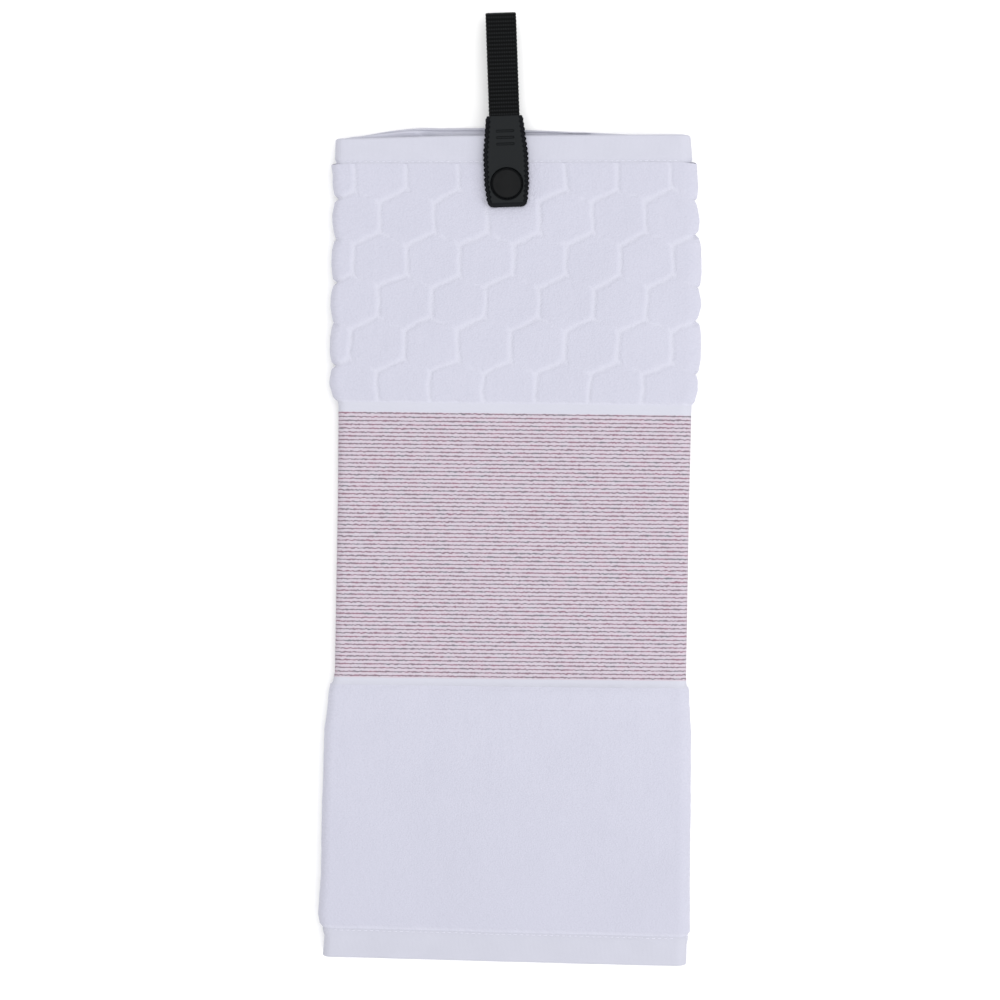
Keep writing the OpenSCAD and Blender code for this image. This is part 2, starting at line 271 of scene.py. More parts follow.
def rounded_end(across, down):
    """Factor that rounds the thickness off at the cloth's four cut edges, which are turned hems."""
    to_end, to_side = np.minimum(down, LENGTH - down), np.minimum(across - INNER_EDGE, OUTER_EDGE - across)
    inside = np.clip(1 - np.minimum(to_end, to_side) / EDGE_R, 0, 1)
    return np.sqrt(np.maximum(1 - inside**2, 0.002))


def to_snap(x, y):
    return np.hypot(x - SNAP[0], y - SNAP[1])


def outer_height(across, down):
    """Height of the cloth's outward face above its mid-surface."""
    loops = pile(across, down)
    height = ground(down, GROUND_H) + (TERRY_H - GROUND_H) * loops
    groove = np.where(in_honeycomb(down), 1 - honeycomb(across, down), 0) * loops
    height = height - (TERRY_H - GROOVE_H) * groove
    side = side_hem_share(across)
    height = height * (1 - side) + HEM_H * side
    # tufts that lean together
    height = height + loops * (layered(across, down, TUFTS) - TUFT_SINK)
    # the stitch row pulls each hem down along its inner edge
    for row, pull in zip(SEAM_ROWS, STITCH_PULLS, strict=True):
        height = height - pull * (1 - ramp(np.abs(down - row), 0.2, 1.5)) * (1 - side)
    # at a fold the loops fan out
    turn = np.abs(section(across)[2])
    height = height + (PUFF * swell(across, down) - FOLD_GROOVE * groove) * loops * turn**2
    height = height * rounded_end(across, down)
    # seat of the eyelet's flange on the front leaf
    on_front = (across > LEFT_X) & (across < RIGHT_X)
    pressed = EYELET_SEAT_H + SLOPE_H * ramp(to_snap(across, TOP_Y - down), *EYELET_SEAT)
    return np.where(on_front, np.minimum(height, pressed), height)


def inner_height(across, down):
    """Depth of the cloth's inward face below its mid-surface."""
    height = ground(down, TERRY_H - INNER_THIN) * rounded_end(across, down)
    # the inner flap gives way under the rear tab, in a fan over the strap's swing
    on_inner = across < INNER_START
    x = LEFT_X + INNER_START - across
    y = TOP_Y - down
    spread = np.abs(x - SNAP[0]) - np.maximum(y - SNAP[1], 0)
    room = (1 - ramp(spread, *POCKET)) * ramp(y - SNAP[1], -POCKET_END[0], -POCKET_END[1])
    return np.where(on_inner, height * (1 - room) - POCKET_SINK * room, height)


def section(across):
    """Mid-surface of the folded cloth in the XZ plane, and its outward normal."""
    left, right = (LEFT_X - across) / LEFT_R, (across - RIGHT_X) / RIGHT_R
    left_turn, right_turn = np.clip(left, 0, pi), np.clip(right, 0, pi)
    x = np.clip(across, LEFT_X, RIGHT_X)
    x = x - LEFT_R * np.sin(left_turn) + RIGHT_R * np.sin(right_turn)
    x = x + LEFT_R * np.maximum(left - pi, 0) - RIGHT_R * np.maximum(right - pi, 0)
    z = FRONT_Z - LEFT_R * (1 - np.cos(left_turn)) - RIGHT_R * (1 - np.cos(right_turn))
    normal_x = np.sin(right_turn) - np.sin(left_turn)
    normal_z = np.where(right > 0, np.cos(right_turn), np.cos(left_turn))
    return x, z, normal_x, normal_z


# How the towel lies: how far each side edge stands off its straight line, at distances down from the top edge
EDGE_DOWN = (0, 12, 20, 45, 75, 122, 134, 180, 266, 276, 292, 330, 366, 384, 391, 394, 406)
LEFT_SHIFT = (0.3, 0.1, 1.2, 1.3, 1.0, 0.7, 2.8, 3.0, 2.5, 0.6, -1.2, -1.9, -2.1, -3.2, -1.7, -0.6, -1.6)
RIGHT_SHIFT = (-2.4, -1.2, -0.7, 1.2, 2.2, 1.7, 0.2, -0.4, -0.9, -0.2, 0.9, 1.1, 1.0, 1.4, 1.3, 0.5, 0.5)
TOP_CLIMB = 1.5  # how much the top edge climbs to the right from the middle
BOTTOM_DROP = 1.3  # how much the bottom edge drops there
CREST_LEFT = 5.5  # how far the flaps' top edges ride up left of the strap
CREST_RIGHT = 1.1, 3.4  # and right of it, and how much more close to it
INNER_CREST = 0.68  # the inner flap's share of that
CREST_FADE = 2, 70  # distances down over which it fades
FRONT_CLIMB = 1.2  # how much the front leaf's top edge climbs from its left corner to the strap
FRONT_LOW = 0.4  # how far that corner sits below the straight line
CURL = 1.9  # how far the flaps' top edges curl up past the front leaf
LOOSE = 42, 80  # distances from the snap between which the pressed stack turns loose
FLAT_SINK = 0.08  # how much flatter the loose stack is in the flat band


def lie(across, down, x, z):
    """Where a point of the neatly folded cloth lies once the towel is put down."""
    half = RIGHT_X + RIGHT_R + TERRY_H
    share = (x + half) / (2 * half)
    down_soft = down + layered(down, 0 * down, EDGE_WANDER)
    left, right = (np.interp(down_soft, EDGE_DOWN, shift) for shift in (LEFT_SHIFT, RIGHT_SHIFT))
    placed_x = x + left * (1 - share) + right * share
    # the top edge climbs a little to the right, and the bottom edge drops there
    comb_end, band_end = SPAN["honeycomb"][1], SPAN["band"][1]
    skew = TOP_CLIMB * (1 - ramp(down, 0, comb_end)) - BOTTOM_DROP * ramp(down, band_end, LENGTH)
    y = TOP_Y - down + skew * x / half
    # behind the front leaf the flaps' top edges ride up beside the strap
    flap = ramp(INNER_START + 6 - across, 0, 12) + ramp(across - OUTER_START + 6, 0, 12)
    higher = np.where(across > 0, 1.0, INNER_CREST)
    right_crest = CREST_RIGHT[0] + CREST_RIGHT[1] * (1 - ramp(x, -4, 80))
    crest = np.where(x < SNAP[0], CREST_LEFT * ramp(x, -98, -42), right_crest)
    y = y + flap * higher * crest * (1 - ramp(down, *CREST_FADE))
    # the front leaf's top edge climbs from its left corner to the strap
    y = y + np.clip(1 - flap, 0, 1) * (FRONT_CLIMB * ramp(x, -88, -25) - FRONT_LOW) * (1 - ramp(down, 0, 11))
    # past the front leaf's edge they curl up a little, clear of the strap's swing
    curl = CURL * flap * ramp(y - TOP_Y, 0, 3) * ramp(np.abs(x - SNAP[0]), 31, 44)
    # the stack breathes: it stands a little higher away from the strap, and lower in the flat band
    loose = ramp(to_snap(placed_x, y), *LOOSE)
    rise = STACK_RISE[0][0] + layered(x, down, STACK_RISE)
    flat = ramp(down, comb_end - 2, comb_end + 8) * (1 - ramp(down, band_end - 6, band_end + 4))
    placed_z = z * (1 + loose * (rise * (1 - 0.6 * flat) - FLAT_SINK * flat)) + curl
    return placed_x, y, placed_z


def cloth_point(across, down, outward):
    """Point of the lying cloth, at a height along the outward normal of its mid-surface."""
    x, z, normal_x, normal_z = section(across)
    return lie(across, down, x + normal_x * outward, z + normal_z * outward)


# ---- mesh helpers
def new_object(name, data):
    made = bpy.data.objects.new(name, data)
    bpy.context.scene.collection.objects.link(made)
    return made


def new_mesh(name, points, faces, material, sharp_above=50, **point_values):
    """A smooth-shaded piece from points in millimetres. point_values become vertex attributes."""
    mesh = bpy.data.meshes.new(name)
    mesh.from_pydata((np.asarray(points) * MM).tolist(), [], [list(face) for face in faces])
    for attribute, values in point_values.items():
        kind, key = ("FLOAT_VECTOR", "vector") if np.ndim(values) == 2 else ("FLOAT", "value")
        layer = mesh.attributes.new(attribute, kind, "POINT")
        layer.data.foreach_set(key, np.asarray(values, np.float32).ravel())
    mesh.polygons.foreach_set("use_smooth", [True] * len(mesh.polygons))
    mesh.set_sharp_from_angle(angle=math.radians(sharp_above))
    mesh.materials.append(material)
    return new_object(name, mesh)


def slab_faces(rows, columns):
    """Quads of a closed slab: an outward grid, an inward grid after it, and the four walls between them."""
    top = np.arange(rows * columns).reshape(rows, columns)
    under = top + rows * columns
    corners = [
        (top[:-1, :-1], top[1:, :-1], top[1:, 1:], top[:-1, 1:]),
        (under[:-1, :-1], under[:-1, 1:], under[1:, 1:], under[1:, :-1]),
        (top[:-1, 0], under[:-1, 0], under[1:, 0], top[1:, 0]),
        (top[:-1, -1], top[1:, -1], under[1:, -1], under[:-1, -1]),
        (top[0, :-1], top[0, 1:], under[0, 1:], under[0, :-1]),
        (top[-1, :-1], under[-1, :-1], under[-1, 1:], top[-1, 1:]),
    ]
    return np.concatenate([np.stack(four, -1).reshape(-1, 4) for four in corners])


def tube_faces(ring_count, ring_size, base=0, closed_ends=True):
    """Quads of a tube through rings of points that follow each other from index base, and its two ends."""
    faces, last = [], base + (ring_count - 1) * ring_size
    for start in range(base, last, ring_size):
        for j in range(ring_size):
            a, b = start + j, start + (j + 1) % ring_size
            faces.append([a, b, b + ring_size, a + ring_size])
    if closed_ends:
        faces.append(list(range(base + ring_size - 1, base - 1, -1)))
        faces.append(list(range(last, last + ring_size)))
    return faces


ROUND_STEPS = (0.03, 0.12, 0.3, 0.6, 1.0)  # where a rounded end needs points


def steps(start, end, pitch, breaks=()):
    """Values from start to end about pitch apart, with finer ones where an end is rounded."""
    values = list(np.linspace(start, end, max(3, int(round((end - start) / pitch)) + 1)))
    for edge, side in breaks:
        values += [edge + side * depth for depth in ROUND_STEPS]
    return np.array(sorted(set(np.round(values, 4))))


def graded(start, end, coarse, fine, centres, reach):
    """Values from start to end, fine apart within reach of any of the centres and coarse apart elsewhere."""
    values = [start]
    while values[-1] < end - 1e-6:
        near = np.min(np.abs(np.asarray(centres) - values[-1]))
        step = fine if near < reach else min(coarse, max(fine, near - reach))
        values.append(min(end, values[-1] + step))
    return np.array(values)


def cloth_piece(name, across, down, material):
    """One closed piece of the towel over the given distances across and down."""
    down, across = np.meshgrid(down, across, indexing="ij")
    faces = slab_faces(*down.shape)
    sides = (outer_height(across, down), -inner_height(across, down))
    points = [np.stack(cloth_point(across, down, side), -1).reshape(-1, 3) for side in sides]
    loops = pile(across, down) * np.where(in_honeycomb(down), honeycomb(across, down), 1)
    place = np.stack([across * MM, down * MM, loops], -1).reshape(-1, 3)
    return new_mesh(name, np.concatenate(points), faces, material, cloth=np.concatenate([place, place]))


# ---- materials
class Shader:
    """A new material with helpers that keep its node tree short to write."""

    def __init__(self, name, roughness, specular=0.15, colour=(0.5, 0.5, 0.5)):
        self.material = bpy.data.materials.new(name)
        self.material.use_nodes = True
        self.tree = self.material.node_tree
        self.bsdf = self.tree.nodes["Principled BSDF"]
        self.bsdf.inputs["Roughness"].default_value = roughness
        self.bsdf.inputs["Specular IOR Level"].default_value = specular
        self.bsdf.inputs["Base Color"].default_value = (*colour, 1)

    def node(self, kind, inputs=None, **settings):
        made = self.tree.nodes.new(kind)
        for key, value in settings.items():
            setattr(made, key, value)
        for key, value in (inputs or {}).items():
            if isinstance(value, bpy.types.NodeSocket):
                self.tree.links.new(value, made.inputs[key])
            else:
                made.inputs[key].default_value = value
        return made

    def math(self, operation, first, second=0.0, third=0.0, clamp=False):
        inputs = {0: first, 1: second, 2: third}
        return self.node("ShaderNodeMath", inputs, operation=operation, use_clamp=clamp).outputs[0]

    def times(self, first, second, clamp=False):
        return self.math("MULTIPLY", first, second, clamp=clamp)

    def minus(self, first, second, clamp=False):
        return self.math("SUBTRACT", first, second, clamp=clamp)

    def stretched(self, vector, scale):
        return self.node("ShaderNodeVectorMath", {0: vector, 1: scale}, operation="MULTIPLY").outputs[0]

    def scaled(self, value, factor, offset, clamp=False):
        return self.math("MULTIPLY_ADD", value, factor, offset, clamp)

    def mix(self, factor, *colours):
        colours = [(*colour, 1) if isinstance(colour, tuple) else colour for colour in colours]
        inputs = dict(zip((0, 6, 7), (factor, *colours), strict=True))
        return self.node("ShaderNodeMix", inputs, data_type="RGBA").outputs[2]

    def place_on(self, attribute_name):
        """Sockets across and along a piece in metres, height from 0 to 1, and the first two as a vector."""
        attribute = self.node("ShaderNodeAttribute", attribute_name=attribute_name)
        across, along, high = self.node("ShaderNodeSeparateXYZ", {0: attribute.outputs["Vector"]}).outputs
        flat = self.node("ShaderNodeCombineXYZ", {0: across, 1: along}).outputs[0]
        return across, along, high, flat

    def object_place(self):
        return self.node("ShaderNodeTexCoord").outputs["Object"]

    def noise(self, vector, size_mm, detail=2.0, roughness=0.5):
        """Noise value socket from 0 to 1 with features about size_mm across."""
        inputs = {"Vector": vector, "Scale": 1 / (size_mm * MM), "Detail": detail, "Roughness": roughness}
        return self.node("ShaderNodeTexNoise", inputs).outputs["Fac"]

    def cells(self, vector, size_mm):
        """Distance to the nearest of scattered points about size_mm apart, in units of that size."""
        inputs = {"Vector": vector, "Scale": 1 / (size_mm * MM)}
        return self.node("ShaderNodeTexVoronoi", inputs, feature="F1").outputs["Distance"]

    def ridges(self, value, pitch_mm):
        """Wave from 0 to 1 that repeats every pitch_mm of a value in metres."""
        turn = self.times(value, 2 * pi / (pitch_mm * MM))
        return self.scaled(self.math("SINE", turn), 0.5, 0.5)

    def bump(self, height, depth_mm, strength):
        inputs = {"Height": height, "Distance": depth_mm * MM, "Strength": strength}
        normal = self.node("ShaderNodeBump", inputs).outputs[0]
        self.tree.links.new(normal, self.bsdf.inputs["Normal"])

    def colour(self, socket):
        self.tree.links.new(socket, self.bsdf.inputs["Base Color"])

    def rough(self, socket):
        self.tree.links.new(socket, self.bsdf.inputs["Roughness"])

    def fuzz(self, weight, roughness=0.5, tint=(1, 1, 1)):
        for key, value in (("Weight", weight), ("Roughness", roughness), ("Tint", (*tint, 1))):
            self.bsdf.inputs["Sheen " + key].default_value = value


# the terry's lit and shaded tones; its shader mixes them by random tone and by painted shade
TERRY_LIGHT, TERRY_SHADE = (0.507, 0.507, 0.588), (0.457, 0.459, 0.540)
GROOVE_LIGHT = (0.552, 0.554, 0.629)
# the hems' lit and shaded tones; their shader mixes them by random tone and by painted shade
HEM_LIGHT, HEM_SHADE = (0.526, 0.528, 0.603), (0.461, 0.465, 0.535)
BORDER_WHITE = (0.507, 0.511, 0.580)
# the band's ground between its lines, and its lines and their soft edges, each less pink and more pink
GROUND_TONES, GROUND_SHADE = ((0.551, 0.511, 0.578), (0.560, 0.473, 0.546)), (0.455, 0.405, 0.460)
# painted shadow: the lines and their soft edges are darker than the mauve yarn, as shade between the weft
# floats
LINE_DYE_AND_SHADOW_TONES = (0.137, 0.138, 0.157), (0.228, 0.116, 0.155)
HALO_DYE_AND_SHADOW_TONES = (0.391, 0.328, 0.382), (0.414, 0.300, 0.364)
# painted shade for the tabs' sloping rims, side walls and deep cuts
RIM_PAINTED_SHADE = (0.0025, 0.0030, 0.0050)


def terry_material(name, loop_mm):
    """Cotton loops: scattered little domes with painted shade in the gaps between them, over slow random
    changes of tone, and painted shade that darkens the plain terry towards the towel's bottom.
    """
    shader = Shader(name, 1.0)
    _, down, loops, flat = shader.place_on("cloth")
    dome = shader.cells(flat, loop_mm)
    fine = shader.noise(flat, loop_mm * 0.45, 3, 0.6)
    slow = shader.noise(flat, 26, 3, 0.55)
    # painted shade: the gaps between the loop domes are darker, as their hollows would be in shade
    gap = shader.scaled(dome, 0.55, shader.times(fine, 0.25))
    streaks = shader.noise(shader.stretched(flat, (1, 0.06, 1)), 2.2, 3, 0.6)
    drift = shader.scaled(streaks, 0.35, shader.times(slow, 0.45))
    # painted shade: the plain terry darkens towards the towel's bottom, standing in for the light falling off
    # there
    lower = shader.times(shader.minus(down, SPAN["terry"][0] * MM, clamp=True), 3.6)
    drift = shader.math("ADD", drift, lower)
    tone = shader.math("ADD", shader.minus(drift, 0.15), gap, clamp=True)
    body = shader.mix(tone, TERRY_LIGHT, TERRY_SHADE)
    in_groove = shader.minus(1.0, loops, clamp=True)
    shader.colour(shader.mix(shader.times(in_groove, 0.45), body, GROOVE_LIGHT))
    height = shader.scaled(fine, 0.6, shader.minus(1.0, dome))
    shader.bump(height, 0.5, 0.4)
    shader.fuzz(0.25, 0.6, (0.95, 0.95, 1.0))
    return shader.material


def hem_material():
    """Flat plain weave of the turned hems, with painted shade in the weave's hollows and towards the towel's
    bottom.
    """
    shader = Shader("hem_weave", 0.95)
    across, down, _, flat = shader.place_on("cloth")
    weave = shader.times(shader.ridges(across, 0.62), shader.ridges(down, 0.55))
    slow = shader.noise(flat, 14, 3, 0.55)
    # painted shade: the hems darken towards the towel's bottom, standing in for the light falling off there
    base = shader.scaled(down, 0.9, 0.3)
    base = shader.scaled(slow, 0.6, base)
    # painted shade: the hollows between the threads take the shaded tone
    tone = shader.scaled(weave, -0.35, base, clamp=True)
    shader.colour(shader.mix(tone, HEM_LIGHT, HEM_SHADE))
    lint = shader.noise(flat, 0.8, 3, 0.7)
    shader.bump(shader.scaled(lint, 0.8, weave), 0.18, 0.5)
    shader.fuzz(0.15)
    return shader.material


STRIPE_PITCH = 1.90  # distance between the band's lines
STRIPE_START = 4.3  # plain border above the first line
STRIPE_END = 3.5  # plain border below the last line


def band_material():
    """Flat jacquard: thin wandering lines on pinkish white, between two plain borders. The lines are
    partly mauve yarn and partly painted shadow between the weft floats.
    """
    shader = Shader("band_jacquard", 0.9)
    across, down, _, flat = shader.place_on("cloth")
    start, end = SPAN["band"][0] + STRIPE_START, SPAN["band"][1] - STRIPE_END
    wander = shader.noise(flat, 1.9, 3, 0.6)
    wobble = shader.scaled(shader.minus(wander, 0.5), 1.5 * MM, down)
    turns = shader.times(shader.minus(wobble, start * MM), 1 / (STRIPE_PITCH * MM))
    phase = shader.math("FRACT", turns)
    off_line = shader.math("ABSOLUTE", shader.minus(phase, 0.5))
    width = shader.scaled(shader.noise(flat, 1.0, 3, 0.75), 0.44, -0.02)
    fall = shader.minus(1.0, shader.math("DIVIDE", off_line, width))
    line = shader.times(fall, 1.8, clamp=True)
    halo = shader.minus(1.0, shader.times(off_line, 2.6), clamp=True)
    below_start = shader.math("GREATER_THAN", down, (start + 0.4) * MM)
    inside = shader.times(below_start, shader.math("LESS_THAN", down, end * MM))
    patch = shader.noise(shader.stretched(flat, (0.3, 1, 1)), 2.0, 3, 0.6)
    pinker = shader.scaled(shader.minus(patch, 0.5), 3.6, 0.5, clamp=True)
    ground_tone = shader.mix(pinker, *GROUND_TONES)
    ground_tone = shader.mix(shader.noise(flat, 0.9, 3, 0.75), ground_tone, GROUND_SHADE)
    # painted shadow: the line and edge tones stand for mauve yarn in the shade between the weft floats
    line_dye_and_shadow = shader.mix(pinker, *LINE_DYE_AND_SHADOW_TONES)
    halo_dye_and_shadow = shader.mix(pinker, *HALO_DYE_AND_SHADOW_TONES)
    soft = shader.mix(shader.times(shader.times(halo, halo), 0.75), ground_tone, halo_dye_and_shadow)
    striped = shader.mix(shader.times(line, 0.9), soft, line_dye_and_shadow)
    shader.colour(shader.mix(inside, BORDER_WHITE, striped))
    weave = shader.times(shader.ridges(across, 0.5), shader.ridges(down, 0.475))
    sunk = shader.times(shader.times(line, inside), -1.6)
    shader.bump(shader.math("ADD", weave, sunk), 0.12, 0.6)
    shader.fuzz(0.1)
    return shader.material


def thread_material():
    shader = Shader("sewing_thread", 0.7)
    place = shader.object_place()
    strands = shader.noise(place, 0.25, 2, 0.6)
    shader.colour(shader.mix(strands, (0.66, 0.66, 0.74), (0.54, 0.54, 0.62)))
    shader.bump(strands, 0.08, 0.6)
    shader.fuzz(0.1)
    return shader.material


def webbing_material():
    """Black woven tape: picks across it, warp cords along it, and painted highlights on its high spots."""
    shader = Shader("black_webbing", 0.62, specular=0.05)
    across, _, high, flat = shader.place_on("tape")
    cords = shader.ridges(across, 0.42)
    fibres = shader.noise(flat, 0.35, 3, 0.7)
    # painted highlight: the picks' high spots are paler, as if catching the light
    painted_highlight = shader.scaled(high, 0.75, shader.times(fibres, 0.3), clamp=True)
    painted_highlight = shader.math("POWER", painted_highlight, 2.2)
    shader.colour(shader.mix(painted_highlight, (0.0008, 0.0010, 0.0012), (0.0230, 0.0245, 0.0260)))
    shader.rough(shader.scaled(fibres, 0.3, 0.42))
    shader.bump(shader.scaled(fibres, 0.6, cords), 0.10, 0.6)
    return shader.material


def moulded_material(name, dark, light, roughness, grain_mm, depth_mm):
    """Moulded rubber or plastic with a fine spark-eroded grain, slightly blotchy in tone and gloss, and
    painted shade where its attribute rim is set.
    """
    shader = Shader(name, roughness, specular=0.09)
    place = shader.object_place()
    grain = shader.noise(place, grain_mm, 3, 0.6)
    blotch = shader.noise(place, 5, 2, 0.5)
    tone = shader.scaled(grain, 0.5, shader.times(blotch, 0.5))
    body = shader.mix(tone, dark, light)
    # painted shade: the attribute rim marks where the rubber is painted dark
    rim = shader.node("ShaderNodeAttribute", attribute_name="rim").outputs["Fac"]
    shader.colour(shader.mix(shader.times(rim, 0.8), body, RIM_PAINTED_SHADE))
    shader.rough(shader.scaled(blotch, 0.2, roughness - 0.1))
    shader.bump(grain, depth_mm, 0.4)
    return shader.material


def brass_material():
    shader = Shader("eyelet_brass", 0.3, specular=0.5)
    place = shader.object_place()
    scratches = shader.noise(place, 0.6, 4, 0.7)
    shader.colour(shader.mix(scratches, (0.55, 0.44, 0.24), (0.38, 0.30, 0.17)))
    shader.rough(shader.scaled(scratches, 0.3, 0.2))
    shader.bump(scratches, 0.03, 0.4)
    shader.bsdf.inputs["Metallic"].default_value = 1.0
    return shader.material


sculpted_terry = terry_material("honeycomb_terry", 0.95)
plain_terry = terry_material("plain_terry", 0.85)
hem_weave = hem_material()
band_jacquard = band_material()
thread = thread_material()
webbing = webbing_material()
rubber = moulded_material("black_rubber", (0.0072, 0.0084, 0.0096), (0.0118, 0.0134, 0.0146),
                          roughness=0.58, grain_mm=0.35, depth_mm=0.05)
plastic = moulded_material("black_plastic", (0.0009, 0.0012, 0.0016), (0.0020, 0.0024, 0.0030),
                           roughness=0.42, grain_mm=0.25, depth_mm=0.02)
brass = brass_material()

# ---- the towel's pieces
# each zone's material, slot, and distance between points across and down
LOOK_OF = {
    "top_hem": (hem_weave, "hem", 1.2, 0.6),
    "honeycomb": (sculpted_terry, "terry", 1.15, 1.2),
    "band": (band_jacquard, "band", 1.3, 1.2),
    "terry": (plain_terry, "terry", 0.95, 0.95),
    "bottom_hem": (hem_weave, "hem", 1.2, 0.6),
}
FINE_PITCH = 0.48  # distance between points at a groove or a turn
LEAVES = {
    "front": (LEFT_SIDE, RIGHT_SIDE),
    "inner": (INNER_EDGE + SIDE_HEM, LEFT_SIDE),
    "outer": (RIGHT_SIDE, OUTER_EDGE - SIDE_HEM),
}


def hold_leaf(piece, leaf):
    """Joins a piece of the inner leaf to the root, and bakes the other pieces' transforms into their meshes.
    """
    if leaf == "inner":
        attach(piece, "root")
        return
    if leaf == "front":
        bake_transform(piece)
    else:
        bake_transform(piece)


for leaf, (first, last) in LEAVES.items():
    for zone in ZONES:
        start, end = SPAN[zone]
        material, slot_name, across_pitch, down_pitch = LOOK_OF[zone]
        if zone == "honeycomb":
            uprights = np.arange(-24, 25) * CELL_W / 2 - PATTERN_SHIFT - PATTERN_SKEW / 2
            zigzags = FIRST_LINE + np.arange(ZIGZAG_LINES) * ROW_PITCH
            across = graded(first, last, across_pitch, FINE_PITCH, [*uprights, LEFT_SIDE, RIGHT_SIDE], 2.9)
            down = graded(start, end, down_pitch, FINE_PITCH, [start, end, *zigzags], 4.6)
        else:
            turned = {"top_hem": [(0, 1)], "bottom_hem": [(LENGTH, -1)]}.get(zone, [])
            across = steps(first, last, across_pitch)
            down = steps(start, end, down_pitch, turned)
        piece = cloth_piece(f"{leaf}_{zone}_cloth", across, down, material)
        hold_leaf(piece, leaf)
        folds = ("left_fold", "right_fold") if (leaf, zone) == ("front", "terry") else ()
        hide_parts(f"{leaf}_{zone}", *folds)

for leaf, body, first, last, turned in (
    ("inner", "root", INNER_EDGE, INNER_EDGE + SIDE_HEM, (INNER_EDGE, 1)),
    ("outer", "outer_flap", OUTER_EDGE - SIDE_HEM, OUTER_EDGE, (OUTER_EDGE, -1)),
):
    across = steps(first, last, 0.7, [turned])
    down = steps(0, LENGTH, 1.5, [(0, 1), (LENGTH, -1)])
    piece = cloth_piece(f"{leaf}_side_hem_cloth", across, down, hem_weave)
    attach(piece, body)
    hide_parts(f"{leaf}_side_hem")

# ---- hem stitches
STITCH_PITCH = 2.9
STITCH_LEN = 2.1
STITCH_R = 0.2


def stitch_row(leaf, body, first, last):
    """Lockstitches along both end hems of a leaf, on both faces of the cloth, as separate short threads."""
    ring, along = 6, 5
    turn = np.linspace(0, 2 * pi, ring, endpoint=False)
    t = np.linspace(-1, 1, along)[:, None]
    radius = STITCH_R * np.sqrt(1 - 0.85 * t**4)
    points, faces = [], []
    for row in SEAM_ROWS:
        for face, height in ((1, outer_height), (-1, inner_height)):
            for centre in np.arange(first + STITCH_PITCH, last - STITCH_PITCH / 2, STITCH_PITCH):
                across = centre + t * STITCH_LEN / 2 + 0 * turn
                seam = row + 0 * across
                down = row + radius * np.cos(turn) + layered(across, seam, STITCH_WANDER)
                arch = 0.10 - 0.22 * t**2 + radius * np.sin(turn)
                place = cloth_point(across, down, face * (height(across, seam) + arch))
                tube = tube_faces(along, ring, base=len(points) * ring * along)
                faces += tube if face > 0 else [quad[::-1] for quad in tube]
                points.append(np.stack(place, -1).reshape(-1, 3))
    piece = new_mesh(f"{leaf}_hem_stitches", np.concatenate(points), faces, thread, 80)
    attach(piece, body)
    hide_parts(f"{leaf}_hem_threads")


stitch_row("front", "root", LEFT_X, RIGHT_X)
stitch_row("inner", "root", INNER_EDGE + SIDE_HEM, INNER_START)
stitch_row("outer", "outer_flap", OUTER_START, OUTER_EDGE - SIDE_HEM)


# ---- the strap, in its own frame about the snap
def in_strap_frame(points):
    """Turns points from the strap's frame, which has the snap's centre at x = y = 0, into the CAD's."""
    x, y, z = np.array(points, float).T
    cos, sin = math.cos(LEAN), math.sin(LEAN)
    return np.stack([SNAP[0] + x * cos - y * sin, SNAP[1] + x * sin + y * cos, z], -1)


def size_in_strap_frame(node):
    """Lowest and highest corner of a CAD node with the strap's lean taken out."""
    points = np.array([vertex.co for vertex in frame["nodes"][node].data.vertices]) / MM
    x, y, z = points[:, 0] - SNAP[0], points[:, 1] - SNAP[1], points[:, 2]
    cos, sin = math.cos(LEAN), math.sin(LEAN)
    local = np.stack([x * cos + y * sin, y * cos - x * sin, z], -1)
    return local.min(0), local.max(0)


def turned_size(node):
    """Radius, lowest and highest height of a CAD node that is turned about the snap's axis."""
    low, high = size_in_strap_frame(node)
    return (high[0] - low[0]) / 2, low[2], high[2]


def swept_rings(name, rings, material, closed_ends=True, **values):
    """A tube through rings of equally many points in the strap's frame."""
    faces = tube_faces(len(rings), len(rings[0]), closed_ends=closed_ends)
    return new_mesh(name, in_strap_frame(np.concatenate(rings)), faces, material, **values)


front_low, front_high = size_in_strap_frame("front_webbing")
rear_low, rear_high = size_in_strap_frame("rear_webbing")
TAPE_W = front_high[0] - front_low[0]
TAPE_T = front_high[2] - front_low[2]
TAPE_FRONT_Z, TAPE_REAR_Z = (front_low[2] + front_high[2]) / 2, (rear_low[2] + rear_high[2]) / 2
CROWN_R = (TAPE_FRONT_Z - TAPE_REAR_Z) / 2
PICK = 1.9  # distance between the tape's picks
CORD = 1.15  # distance between its warp cords
RIB_DEPTH = 0.28  # how far a pick stands out of the tape
SELVEDGE = 0.016  # how far the picks' turns show at the tape's edges, as a share of its width
TAPE_START = rear_low[1]


def tape_path():
    """The tape's middle, up the rear run, round the crown and down the front run."""
    straight = rear_high[1] - TAPE_START
    length = 2 * straight + pi * CROWN_R
    along = np.linspace(0, length, int(length / (PICK / 6)) + 1)
    turn = np.clip((along - straight) / CROWN_R, 0, pi)
    y = TAPE_START + np.minimum(along, straight) + CROWN_R * np.sin(turn)
    y = y - np.maximum(along - straight - pi * CROWN_R, 0)
    z = TAPE_REAR_Z + CROWN_R * (1 - np.cos(turn))
    normal = np.stack([np.sin(turn), -np.cos(turn)], -1)
    return along, y, z, normal


